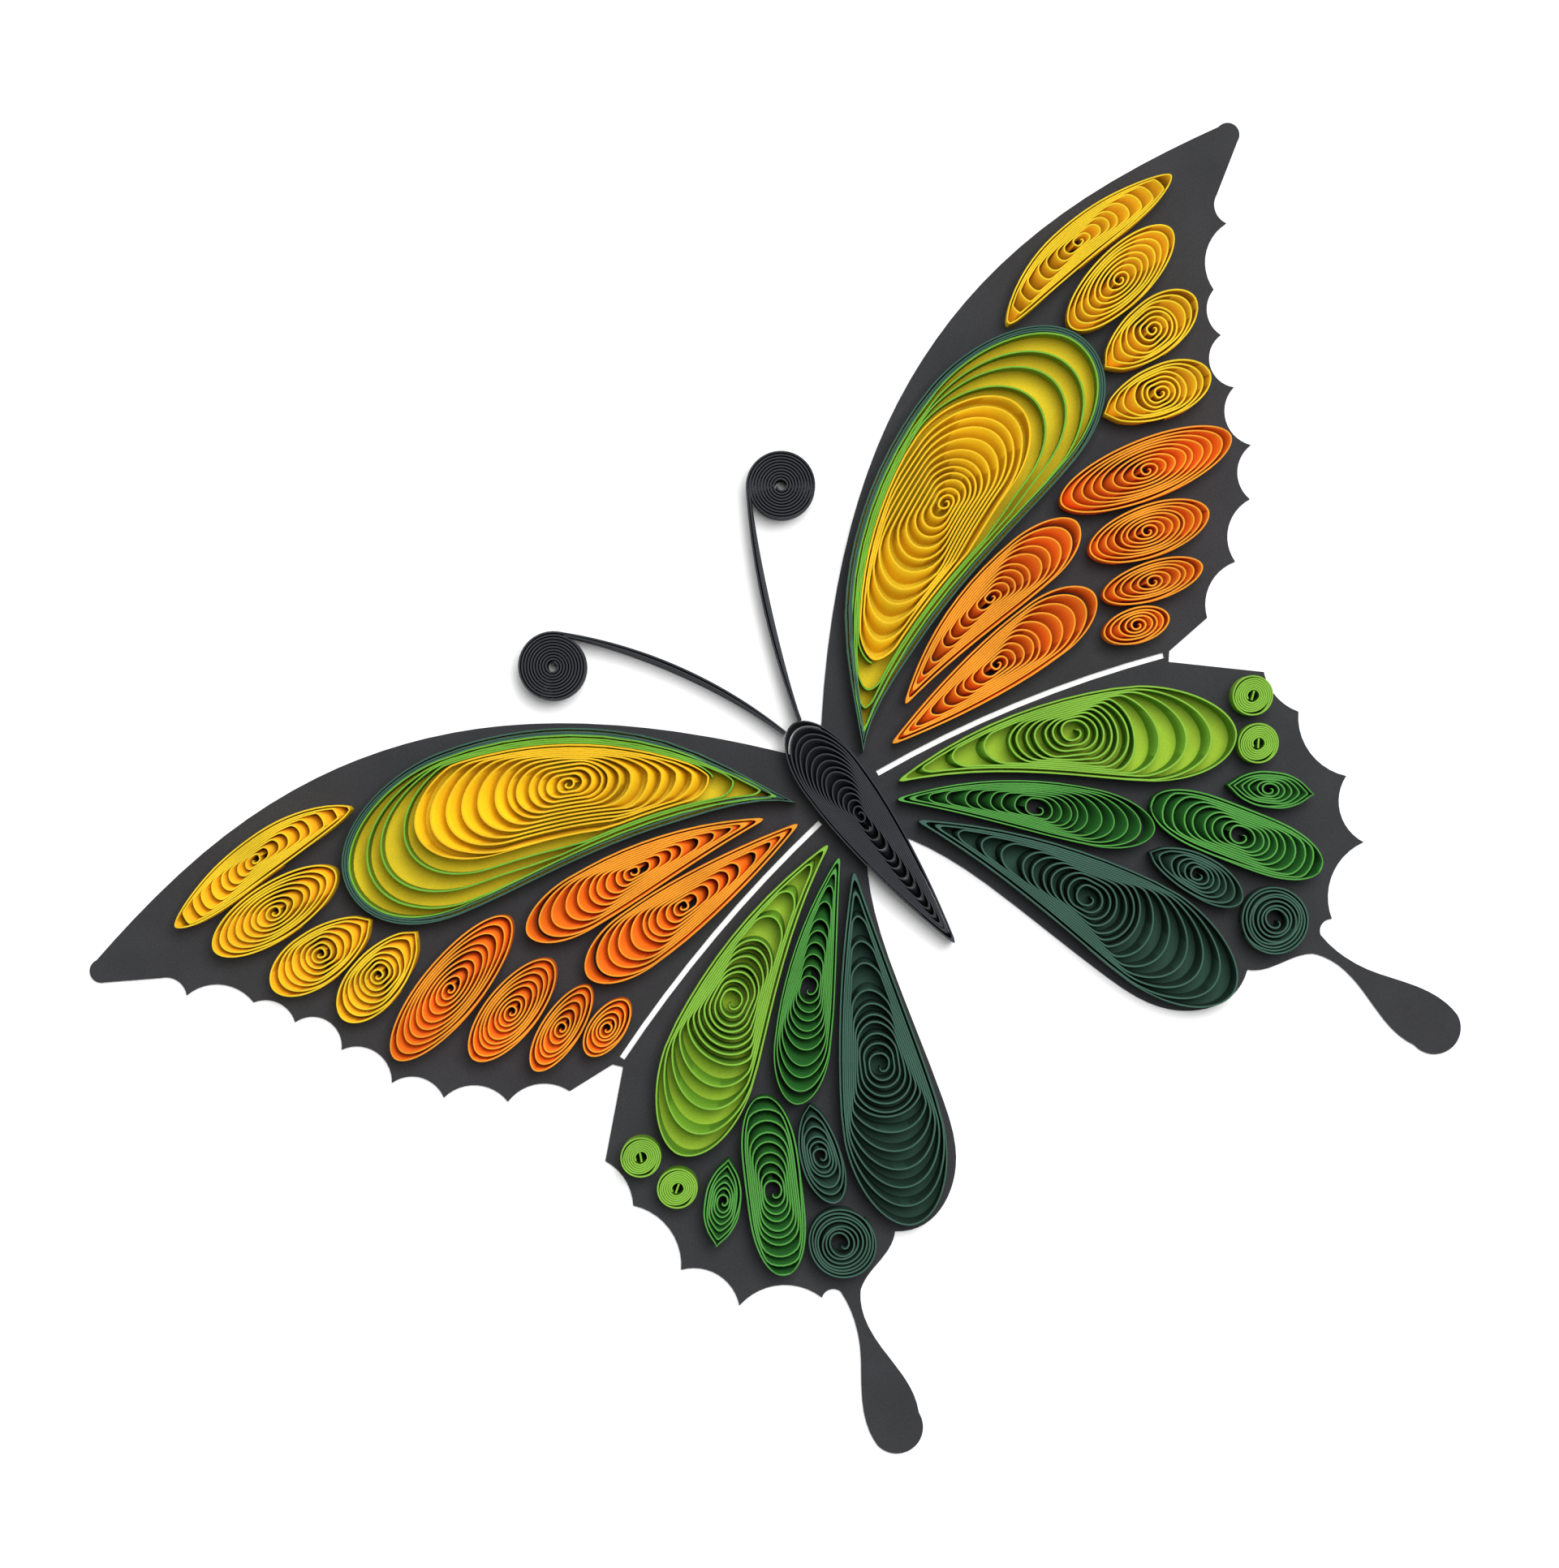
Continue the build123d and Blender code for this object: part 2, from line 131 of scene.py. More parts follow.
# Each coil runs from a start to an end, bows to the front, and its eye lies aside of its middle
Place = namedtuple("Place", "start end bow aside")
Coil = namedtuple("Coil", "name form width turns slot left right")
COILS = [
    Coil("yellow_tip_leaf", LONG_LEAF, 3.15, 9, "yellow_strip",
         Place((-29.05, 21.7), (-44.3, 22.35), 0.8, 0), Place((29.55, 21.45), (45.4, 23.05), 1.0, 0)),
    Coil("yellow_oval", OVAL, 4.2, 8, "yellow_strip",
         Place((-32.6, 18.7), (-43.1, 19.3), 0.0, 0), Place((33.0, 18.55), (43.1, 20.0), 0.0, 0)),
    Coil("yellow_upper_drop", DROP, 4.05, 7, "yellow_strip",
         Place((-32.7, 14.4), (-41.35, 14.6), 0.0, 0), Place((33.3, 14.8), (41.55, 15.1), 0.0, 0)),
    Coil("yellow_lower_drop", DROP, 3.95, 7, "yellow_strip",
         Place((-30.6, 11.75), (-38.6, 9.85), 0.0, 0), Place((31.25, 12.15), (39.2, 10.0), 0.0, 0)),
    Coil("orange_first_oval", OVAL, 4.45, 9, "orange_strip",
         Place((-24.6, 8.6), (-37.3, 5.35), 0.0, 0), Place((24.9, 8.85), (37.7, 5.45), 0.0, 0)),
    Coil("orange_second_oval", OVAL, 3.9, 8, "orange_strip",
         Place((-24.0, 4.25), (-32.8, 1.95), 0.0, 0), Place((24.5, 4.8), (33.2, 2.1), 0.0, 0)),
    Coil("orange_third_oval", OVAL, 2.95, 6, "orange_strip",
         Place((-22.95, 1.2), (-29.75, -1.3), 0.0, 0), Place((23.35, 1.65), (30.5, -0.8), 0.0, 0)),
    Coil("orange_fourth_oval", OVAL, 2.7, 5, "orange_strip",
         Place((-21.35, -1.25), (-26.0, -2.7), 0.0, 0), Place((21.75, -0.6), (26.4, -2.3), 0.0, 0)),
    Coil("orange_upper_drop", LONG_DROP, 4.2, 10, "orange_strip",
         Place((-5.3, 3.2), (-24.3, 6.9), 0.7, 0), Place((7.0, 3.75), (25.1, 7.15), 0.9, 0)),
    Coil("orange_lower_drop", LONG_DROP, 4.5, 10, "orange_strip",
         Place((-3.55, 1.6), (-22.65, 1.85), 0.0, 0), Place((4.55, 2.2), (23.05, 2.25), 0.0, 0)),
    Coil("light_green_drop", LOOSE_DROP, 7.1, 11, "light_green_strip",
         Place((-2.65, -0.8), (-25.1, -12.2), 1.3, 0.15), Place((3.25, -0.15), (25.35, -11.8), 1.5, 0.3)),
    Coil("green_drop", LONG_DROP, 4.2, 10, "green_strip",
         Place((-2.65, -1.85), (-16.15, -14.45), 0.5, 0), Place((2.45, -1.0), (16.45, -14.0), 0.75, -0.15)),
    Coil("dark_green_drop", FREE_DROP, 7.4, 12, "dark_green_strip",
         Place((-2.55, -3.2), (-14.55, -26.45), 0.4, 0), Place((2.85, -3.0), (14.15, -26.75), 1.1, 0)),
    Coil("green_leaf", LEAF, 2.75, 6, "green_strip",
         Place((-22.2, -14.65), (-26.8, -19.35), 0.0, 0), Place((22.4, -14.45), (27.15, -18.85), 0.0, 0)),
    Coil("green_oval", STADIUM, 4.2, 9, "green_strip",
         Place((-17.65, -12.55), (-24.05, -23.9), 0.0, 0), Place((17.4, -12.2), (24.4, -23.4), 0.0, 0)),
    Coil("dark_green_small_drop", DROP, 3.1, 6, "dark_green_strip",
         Place((-15.25, -15.05), (-18.05, -21.9), 0.2, 0), Place((15.1, -15.05), (18.4, -21.9), 0.2, 0)),
    Coil("dark_green_round", OVAL, 4.9, 7, "dark_green_strip",
         Place((-19.3, -21.9), (-19.4, -27.05), 0.0, 0), Place((19.35, -21.9), (19.5, -26.85), 0.0, 0)),
]
BACKED = ("light_green_drop", "dark_green_drop")
OPEN = ("green_strip", "dark_green_strip", "light_green_strip")
BODY = Coil("body", LONG_DROP._replace(eye=0.60, wind=DENSE), 4.7, 14, "black_strip",
            None, Place((0.0, -12.4), (0.0, 7.65), 0.0, 0))

# Great drop of the fore wing: border, wrap and core, from the outside in
GREAT = Coil("great_drop", GREAT_DROP, 11.8, 0, "",
             Place((-2.95, 2.6), (-32.3, 18.35), 3.35, 0), Place((2.65, 2.6), (33.0, 18.25), 3.35, 0))
BORDER_TURNS = 3
WRAP_TURNS = 4
CORE_TURNS = 12
CORE_HALF = 3.9
CORE_WIDEST = 0.86        # where the core is widest, as a share of the way to where the drop is
WRAP_RAGGED = 0.35        # how far the ends of the wrap's turns stray
WRAP_ROOM = 2             # layers between the core and the wrap's last turn
# The stations of the core's tail, head and eye, and how far the same three lie to the front
Core = namedtuple("Core", "tail head eye low high aside")
CORES = {"left": Core(6.2, 27.7, 16.3, 0.45, 1.4, 0.68), "right": Core(6.6, 27.8, 19.0, 0.0, 0.67, -0.17)}

# Discs: the corner that the lower one lies in, the way it opens, and the way from it to the upper one
DISC_DIAMETER = 3.0
DISC_GAP = 0.45
DISC_CORNER = 75.0
DISC_TURNS = 7
DISC_HOLE = 0.75
SLIT_ANGLES = (30, 70)    # the range of directions of the strip's end across the hole
DISCS = {"left": ((-24.05, -14.25), 180.0, 103.0), "right": ((23.6, -13.45), 0.0, 60.0)}

# Antennae: the middle of the curl, where the stem runs into it, and where it leaves the head
CURL_DIAMETER = 5.1
CURL_TURNS = 10
CURL_HOLE = 0.8
CURL_FACETS = 44          # facets in a turn of the curl
STEM_FACETS = 40
STEM_LEAN = 0.24          # how far the foot of a stem lies aside of its top
STEM_GAP = 0.03           # least gap between the stem's two layers
STEM_SPREAD = 0.07        # how much wider the gap is in the middle of the stem
ANTENNAE = {"left": ((-11.35, 21.2), 45.0, 18.0), "right": ((9.6, 21.85), 147.0, -13.0)}

# The card leans 36.6 degrees to the left in the photograph, which was taken from well above
LEAN = 36.6
VIEW_MIDDLE = (-3.3, 4.7)
VIEW_HEIGHT = 350.0
VIEW_WIDTH = 113.0
SENSOR = 36.0
NEAREST_SEEN = 0.01       # metres from the camera
FLOOR_REACH = 1.5         # metres, enough to fill every view
FLOOR_DEPTH = 0.02        # how far the floor lies under the card
FLOOR_COLOUR = (0.93, 0.93, 0.925)
FLOOR_ROUGHNESS = 0.9
FLOOR_SHEEN = 0.1


def blend(first, second, share):
    return first + (second - first) * share


def stepped(point, degrees, distance):
    angle = math.radians(degrees)
    return (point[0] + distance * math.cos(angle), point[1] + distance * math.sin(angle))


def lesser(first, second):
    """The lesser of two widths, with the corner between them rounded."""
    overlap = max(CORNER - abs(first - second), 0.0)
    return min(first, second) - overlap * overlap / (4 * CORNER)


class Centreline:
    """The bowed line that a coil's turns lie along."""

    def __init__(self, place):
        self.start = place.start
        run = (place.end[0] - place.start[0], place.end[1] - place.start[1])
        self.length = math.hypot(*run)
        self.direction = (run[0] / self.length, run[1] / self.length)
        self.front = -1 if run[0] < 0 else 1
        self.bow = place.bow

    def point(self, along, across):
        share = min(max(along / self.length, 0.0), 1.0)
        fall = (1 - BOW_PEAK) / BOW_PEAK
        bend = share * (1 - share) ** fall / (BOW_PEAK * (1 - BOW_PEAK) ** fall)
        sideways = self.front * (across + self.bow * bend)
        x = self.start[0] + along * self.direction[0] - sideways * self.direction[1]
        y = self.start[1] + along * self.direction[1] + sideways * self.direction[0]
        return (x, y)


class Outline:
    """The half width of a pressed coil at each station of its line."""

    def __init__(self, form, length, half):
        self.form = form
        self.length = length
        self.half = half
        self.widest = form.widest * length

    def half_at(self, station):
        forward = station >= self.widest
        taper = self.form.front if forward else self.form.back
        reach = self.length - self.widest if forward else self.widest
        share = min(abs(station - self.widest) / reach, 1.0)
        return self.half * (1 - share ** taper.power) ** taper.root

    def off_widest(self, half, taper):
        """How far from the widest station the outline narrows to a half width, as a share of the reach."""
        return (1 - min(max(half, 0.0) / self.half, 1.0) ** (1 / taper.root)) ** (1 / taper.power)

    def tail_for(self, half):
        return self.widest * (1 - self.off_widest(half, self.form.back))

    def head_for(self, half):
        return self.widest + (self.length - self.widest) * self.off_widest(half, self.form.front)


# One turn: the stations of its ends and its widest place, its half width, and how far its ends lie aside
Ring = namedtuple("Ring", "tail middle head half low high")


def spread(share, wind):
    """How far out a turn reaches, for its share of the turns counted from the eye."""
    if share < wind.tight:
        return wind.core * share / wind.tight
    return blend(wind.core, 1.0, (share - wind.tight) / (1 - wind.tight))


def settled(turn):
    """Layers outside the strip: it goes round once on the outline, and then in under its own torn start."""
    into = turn - 1 - START
    return turn - START if into >= FEATHER else max(into, 0.0) / FEATHER * (1 + FEATHER)


def wave(draw, periods):
    """A smooth wobble between -1 and 1, which repeats after about these periods."""
    terms = []
    for period in periods:
        height = draw.uniform(*WOBBLE_HEIGHTS)
        frequency = draw.uniform(*WOBBLE_SPREAD) / period
        terms.append((height, frequency, draw.uniform(0, 2 * math.pi)))
    scale = sum(height for height, frequency, phase in terms)
    return lambda turn: sum(h * math.sin(2 * math.pi * f * turn + p) for h, f, p in terms) / scale


def dip(rise):
    """How far the cut edge lies under the full height, for a wobble between -1 and 1."""
    return WAVE * (1 + rise) / 2


class Winding:
    """A strip that winds from an outer ring in to an inner one, inside an outline."""

    def __init__(self, line, outline, outer, inner, turns, wind, draw, before=0.0, ragged=RAGGED):
        self.line = line
        self.outline = outline
        self.outer = outer
        self.inner = inner
        self.turns = turns
        self.wind = wind
        self.before = before          # paper between the outline and this strip
        self.ragged = ragged
        room = min(outer.half, outline.half_at(inner.middle) - before) - inner.half
        self.layer = min(PLY * PACKED, room / (turns - START))
        self.thickness = self.layer / PACKED
        self.rise = wave(draw, RISE_PERIODS)
        self.tail_wave = wave(draw, TAIL_PERIODS)
        self.head_wave = wave(draw, HEAD_PERIODS)

    def share_left(self, turn, first):
        """Share of the turns that lies further in, counted from the first turn at this end."""
        return 1 - max(turn - first, 0.0) / (self.turns - first)

    def ring(self, turn):
        share = self.share_left(turn, FIRST_TAIL)
        tail_share = spread(share, self.wind)
        head_share = spread(self.share_left(turn, FIRST_HEAD), self.wind)
        loose = self.ragged * 4 * share * (1 - share)
        inner, outer = self.inner, self.outer
        return Ring(blend(inner.tail, outer.tail, tail_share) + loose * self.tail_wave(turn),
                    blend(inner.middle, outer.middle, tail_share),
                    blend(inner.head, outer.head, head_share) + loose * self.head_wave(turn),
                    self.ring_half(1 - settled(turn) / (self.turns - START)),
                    blend(inner.low, outer.low, share), blend(inner.high, outer.high, share))

    def ring_half(self, share):
        """Between turns that are evenly spaced and outer turns that are pressed together along the sides."""
        tight = self.wind.tight
        edge = self.outer.half - self.layer * (self.turns - START) * (1 - max(share, tight))
        pressed = blend(self.inner.half, edge, min(share / tight, 1.0))
        return blend(blend(self.inner.half, self.outer.half, share), pressed, self.wind.press)

    def end(self, near, limit, widest, arc, lap):
        """Station and roundness at a share of the way from a turn's end to its widest place."""
        reach = abs(widest - near)
        length = min(max(limit, NARROWEST) * arc, reach)
        curved = max(LEAST_CURVED, length / reach)
        way = 1 if widest > near else -1
        if lap <= curved:
            angle = lap / curved * math.pi / 2
            return near + way * length * (1 - math.cos(angle)), math.sin(angle)
        return near + way * blend(length, reach, (lap - curved) / (1 - curved)), 1.0

    def point(self, turn, lap, depth):
        """A point of the ring at this turn, a lap round from its tail, moved in by a depth."""
        ring = self.ring(turn)
        inset = self.before + self.layer * settled(turn) + depth
        # The ends stay where the outline is wide enough for the layers outside them
        tail = min(max(ring.tail + depth, self.outline.tail_for(inset + NARROWEST)), ring.middle - NARROWEST)
        head = max(min(ring.head - depth, self.outline.head_for(inset)), ring.middle + NARROWEST)
        half = max(ring.half - depth, NARROWEST)
        side = -1 if lap < 0.5 else 1
        quarter = min(lap, 1 - lap) * 4
        if quarter < 1:
            taper = self.outline.form.back
            limit = min(half, self.outline.half_at(tail + END_REACH) - inset)
            station, roundness = self.end(tail, limit, ring.middle, self.wind.tail_arc, quarter)
        else:
            taper = self.outline.form.front
            limit = min(half, self.outline.half_at(head - END_REACH) - inset)
            station, roundness = self.end(head, limit, ring.middle, self.wind.head_arc, 2 - quarter)
        centre = blend(ring.low, ring.high, (station - tail) / (head - tail))
        room = max(self.outline.half_at(station) - inset - side * centre, 0.0)
        # A turn is rounded across a sharp end of the coil, and follows a round one
        sharp = taper.root > SLIM.root
        width = lesser(half, room) * roundness if sharp else lesser(half * roundness, room)
        return self.line.point(station, centre + side * max(width, 0.0))

    def foot(self, turn):
        """The turn that the strip's foot follows: further in at the head, and further out at the tail."""
        headward = math.sin(math.pi * turn) ** 2
        inner = min(settled(turn), 1.0)
        lead = headward * blend(FIRST_LEAN, 1.0, inner) - (1 - headward) * TAIL_LEAN * inner
        return min(turn + self.wind.lean * lead, blend(turn, self.turns, INNERMOST_FOOT))

    def strip(self, bottom, hook=True):
        strip = Strip(bottom)
        for i in range(round(START * FACETS), round(self.turns * FACETS) + 1):
            turn = i / FACETS
            lap = turn % 1
            foot = self.foot(turn)
            grown = min((turn - START) / FEATHER, 1.0)
            depth = INSIDE + self.thickness * blend(TORN, 1.0, grown)
            strip.add(self.point(turn, lap, INSIDE), self.point(turn, lap, depth), dip(self.rise(turn)),
                      self.point(foot, lap, INSIDE), self.point(foot, lap, depth))
        if hook:
            self.hook(strip)
        return strip

    def hook(self, strip):
        """The end that was held by the needle bends in across the eye."""
        steps = round(HOOK * FACETS)
        for i in range(1, steps + 1):
            share = i / steps
            depth = INSIDE + self.inner.half * HOOK_REACH * share * share
            turn = self.turns + HOOK * share
            strip.add(self.point(self.turns, turn % 1, depth),
                      self.point(self.turns, turn % 1, depth + self.thickness), dip(self.rise(turn)))


class Strip:
    """The two faces of a paper strip that stands on edge, at its top and at its foot, station by station."""

    def __init__(self, bottom):
        self.bottom = bottom
        self.sections = []

    def add(self, outer, inner, drop, outer_foot=None, inner_foot=None):
        top = self.bottom + STRIP - drop
        self.sections.append((outer, inner, outer_foot or outer, inner_foot or inner, top))


def path_strip(points, bottom, draw, leans=None):
    """A strip along a path of points, half its thickness to either side, whose foot may lean to the left."""
    strip = Strip(bottom)
    rise = wave(draw, PATH_PERIODS)
    for i, (x, y) in enumerate(points):
        before = points[max(i - 1, 0)]
        after = points[min(i + 1, len(points) - 1)]
        run = math.dist(before, after)
        normal = ((before[1] - after[1]) / run, (after[0] - before[0]) / run)
        lean = leans[i] if leans else 0.0
        sides = [(x + normal[0] * off, y + normal[1] * off)
                 for off in (PLY / 2, -PLY / 2, PLY / 2 + lean, -PLY / 2 + lean)]
        strip.add(sides[0], sides[1], dip(rise(i)), sides[2], sides[3])
    return strip


def strip_mesh(name, strips):
    """The closed mesh of one or more strips, with rounded cut edges."""
    vertices = []
    faces = []
    for strip in strips:
        first = len(vertices)
        for (ox, oy), (ix, iy), (fx, fy), (gx, gy), top in strip.sections:
            width = math.dist((ox, oy), (ix, iy)) or 1.0
            nx, ny = (ix - ox) / width * NIBBLE, (iy - oy) / width * NIBBLE
            section = [(fx, fy, strip.bottom), (ox, oy, top - NIBBLE), (ox + nx, oy + ny, top),
                       (ix - nx, iy - ny, top), (ix, iy, top - NIBBLE), (gx, gy, strip.bottom)]
            vertices += [(x * MM, y * MM, z * MM) for x, y, z in section]
        count = len(strip.sections)
        for i in range(count - 1):
            a = first + i * SECTION
            b = a + SECTION
            for k in range(SECTION):
                n = (k + 1) % SECTION
                faces.append((a + k, a + n, b + n, b + k))
        faces.append(tuple(first + k for k in reversed(range(SECTION))))
        faces.append(tuple(first + (count - 1) * SECTION + k for k in range(SECTION)))
    mesh = bpy.data.meshes.new(name)
    mesh.from_pydata(vertices, [], faces)
    mesh.validate()
    mesh.shade_smooth()
    mesh.set_sharp_from_angle(angle=math.radians(SMOOTH))
    return mesh


def plate_mesh(name, outline, bottom, height):
    """A flat sheet with this outline."""
    count = len(outline)
    vertices = [(x * MM, y * MM, z * MM) for z in (bottom, bottom + height) for x, y in outline]
    faces = [tuple(reversed(range(count))), tuple(range(count, 2 * count))]
    faces += [(i, (i + 1) % count, count + (i + 1) % count, count + i) for i in range(count)]
    mesh = bpy.data.meshes.new(name)
    mesh.from_pydata(vertices, [], faces)
    mesh.validate()
    return mesh


def outward(mesh):
    """Turns the mesh's faces so that they look outwards."""
    work = bmesh.new()
    work.from_mesh(mesh)
    bmesh.ops.recalc_face_normals(work, faces=work.faces)
    work.to_mesh(mesh)
    work.free()


def piece(node, mesh, slot, paper=None):
    """Makes the object that stands for a node, in the paper of a slot."""
    outward(mesh)
    made = bpy.data.objects.new(node + "_paper", mesh)
    bpy.context.scene.collection.objects.link(made)
    mesh.materials.append(PAPERS[paper or slot])
    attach(made, "root")
    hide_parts(node)


# Materials: the colour of a paper's faces and of its cut edge
Paper = namedtuple("Paper", "face edge")
PAPER_COLOURS = {
    "black_card": Paper((0.022, 0.022, 0.025), (0.0235, 0.024, 0.027)),
    "black_strip": Paper((0.013, 0.014, 0.018), (0.030, 0.032, 0.038)),
    "yellow_strip": Paper((0.92, 0.55, 0.014), (0.64, 0.46, 0.014)),
    "amber_strip": Paper((0.95, 0.66, 0.012), (0.70, 0.40, 0.011)),
    "orange_strip": Paper((0.90, 0.21, 0.010), (0.66, 0.26, 0.016)),
    "lime_strip": Paper((0.22, 0.36, 0.015), (0.12, 0.34, 0.03)),
    "light_green_strip": Paper((0.18, 0.40, 0.025), (0.18, 0.38, 0.040)),
    "green_strip": Paper((0.018, 0.13, 0.018), (0.070, 0.26, 0.045)),
    "dark_green_strip": Paper((0.020, 0.062, 0.042), (0.037, 0.092, 0.066)),
    "amber_backing": Paper((0.68, 0.50, 0.015), (0.68, 0.50, 0.015)),
    "light_green_backing": Paper((0.30, 0.46, 0.032), (0.30, 0.46, 0.032)),
    "dark_green_backing": Paper((0.020, 0.056, 0.040), (0.020, 0.056, 0.040)),
}

# Roughness, how far the fibres change the colour, and how strongly they stand out
Finish = namedtuple("Finish", "roughness grain bump")
CARD_FINISH = Finish(0.75, 0.16, 0.5)
STRIP_FINISH = Finish(0.85, 0.10, 0.35)
SHEEN = 0.25              # specular level of paper
EDGE_SLOPE = (0.5, 0.9)   # height of the normals between which a face turns to a cut edge
# Noise: its scale for each metre and its detail
CLOUDS = (260.0, 3.0)
FIBRES = (9000.0, 4.0)
NOISE_RANGE = (0.3, 0.7)  # values of the noise that are used
CLOUD_TONES = (0.88, 1.10)
FIBRE_HEIGHT = 0.02


def tree_of(material):
    material.use_nodes = True
    return material.node_tree


def noise(nodes, links, coordinates, scale, detail):
    node = nodes.new("ShaderNodeTexNoise")
    node.inputs["Scale"].default_value = scale
    node.inputs["Detail"].default_value = detail
    links.new(coordinates, node.inputs["Vector"])
    return node.outputs["Fac"]


def ranged(nodes, links, value, low, high, to_low, to_high):
    node = nodes.new("ShaderNodeMapRange")
    for k, v in enumerate((low, high, to_low, to_high)):
        node.inputs[k + 1].default_value = v
    links.new(value, node.inputs["Value"])
    return node.outputs["Result"]


def paper_material(name, paper, finish):
    """Matt paper: clouded colour, fine fibres, and a cut edge of its own tone on what looks up."""
    material = bpy.data.materials.new(name)
    tree = tree_of(material)
    nodes, links = tree.nodes, tree.links
    shader = nodes["Principled BSDF"]
    shader.inputs["Roughness"].default_value = finish.roughness
    shader.inputs["Specular IOR Level"].default_value = SHEEN
    place = nodes.new("ShaderNodeTexCoord").outputs["Object"]
    geometry = nodes.new("ShaderNodeNewGeometry")
    split = nodes.new("ShaderNodeSeparateXYZ")
    links.new(geometry.outputs["True Normal"], split.inputs["Vector"])
    upward = ranged(nodes, links, split.outputs["Z"], *EDGE_SLOPE, 0.0, 1.0)
    colour = nodes.new("ShaderNodeMix")
    colour.data_type = "RGBA"
    colour.inputs["A"].default_value = (*paper.face, 1)
    colour.inputs["B"].default_value = (*paper.edge, 1)
    links.new(upward, colour.inputs["Factor"])
    clouds = noise(nodes, links, place, *CLOUDS)
    fibres = noise(nodes, links, place, *FIBRES)
    fibre_tones = (1 - finish.grain, 1 + finish.grain)
    tone = nodes.new("ShaderNodeMath")
    tone.operation = "MULTIPLY"
    links.new(ranged(nodes, links, clouds, *NOISE_RANGE, *CLOUD_TONES), tone.inputs[0])
    links.new(ranged(nodes, links, fibres, *NOISE_RANGE, *fibre_tones), tone.inputs[1])
    shaded = nodes.new("ShaderNodeVectorMath")
    shaded.operation = "SCALE"
    links.new(colour.outputs["Result"], shaded.inputs[0])
    links.new(tone.outputs[0], shaded.inputs["Scale"])
    links.new(shaded.outputs["Vector"], shader.inputs["Base Color"])
    relief = nodes.new("ShaderNodeBump")
    relief.inputs["Strength"].default_value = finish.bump
    relief.inputs["Distance"].default_value = FIBRE_HEIGHT * MM
    links.new(fibres, relief.inputs["Height"])
    links.new(relief.outputs["Normal"], shader.inputs["Normal"])
    return material


PAPERS = {}
for slot_name, paper in PAPER_COLOURS.items():
    finish = CARD_FINISH if slot_name == "black_card" else STRIP_FINISH
    PAPERS[slot_name] = paper_material(slot_name + "_paper", paper, finish)


def eye_ring(station, radius, aside, stretch=EYE_STRETCH):
    return Ring(station - radius * stretch, station, station + radius * stretch, radius, aside, aside)


def outer_ring(outline, before=0.0):
    head = outline.length - before
    return Ring(outline.tail_for(before), outline.widest, head, outline.half - before, 0.0, 0.0)


def outer_turn(line, outline, eye, draw):
    """A winding of which only the outermost turn is used."""
    least_turns = 2
    return Winding(line, outline, outer_ring(outline), eye_ring(outline.widest, eye, 0), least_turns,
                   outline.form.wind, draw)


def add_backing(node, line, outline, slot):
    """The paper under a coil, which ends a little inside the coil's outline."""
    name = node + "_backing"
    turn = outer_turn(line, outline, NARROWEST, random.Random(SEED))
    edge = [turn.point(0, i / SHEET_FACETS, SHEET_INSIDE) for i in range(SHEET_FACETS)]
    piece(name, plate_mesh(name, edge, CARD, BACKING), slot, slot.replace("_strip", "_backing"))


def add_coil(coil, side):
    node = f"{side}_{coil.name}" if coil.left else coil.name
    place = getattr(coil, side)
    line = Centreline(place)
    outline = Outline(coil.form, line.length, coil.width / 2)
    bottom = CARD
    if coil.name in BACKED:
        add_backing(node, line, outline, coil.slot)
        bottom += BACKING
    draw = random.Random(f"{SEED} {node}")
    eye = (coil.form.eye + draw.uniform(-EYE_SCATTER, EYE_SCATTER)) * line.length
    aside = place.aside + draw.uniform(-ASIDE_SCATTER, ASIDE_SCATTER)
    radius = min(OPEN_EYE if coil.slot in OPEN else EYE, EYE_SHARE * outline.half)
    winding = Winding(line, outline, outer_ring(outline), eye_ring(eye, radius, aside), coil.turns,
                      coil.form.wind, draw)
    piece(node, strip_mesh(node, [winding.strip(bottom)]), coil.slot)


def add_great_drop(side):
    line = Centreline(getattr(GREAT, side))
    outline = Outline(GREAT.form, line.length, GREAT.width / 2)
    bottom = CARD + BACKING
    draw = random.Random(f"{SEED} great {side}")
    node = f"{side}_great_drop"
    add_backing(node, line, outline, "amber_strip")
    layer = PLY * PACKED
    outer = outer_ring(outline)
    border_depth = BORDER_TURNS * layer
    border = Winding(line, outline, outer, outer_ring(outline, border_depth), BORDER_TURNS, EVEN, draw,
                     ragged=0.0)
    border_mesh = strip_mesh(node + "_border", [border.strip(bottom, hook=False)])
    piece(node + "_border", border_mesh, "dark_green_strip")
    plan = CORES[side]
    wrap_depth = border_depth + 2 * INSIDE
    core = Ring(plan.tail, outline.widest * CORE_WIDEST, plan.head, CORE_HALF, plan.low, plan.high)
    room = WRAP_ROOM * layer
    round_core = core._replace(tail=core.tail - room, head=core.head + room, half=core.half + room)
    wrap = Winding(line, outline, outer_ring(outline, wrap_depth), round_core, WRAP_TURNS,
                   EVEN._replace(tail_arc=1.0), draw, before=wrap_depth, ragged=WRAP_RAGGED)
    piece(node + "_wrap", strip_mesh(node + "_wrap", [wrap.strip(bottom, hook=False)]), "lime_strip")
    depth = border_depth + (WRAP_TURNS + 1) * layer
    middle = Winding(line, outline, core, eye_ring(plan.eye, EYE, plan.aside), CORE_TURNS, GOLDEN, draw,
                     before=depth)
    piece(node + "_core", strip_mesh(node + "_core", [middle.strip(bottom)]), "amber_strip")


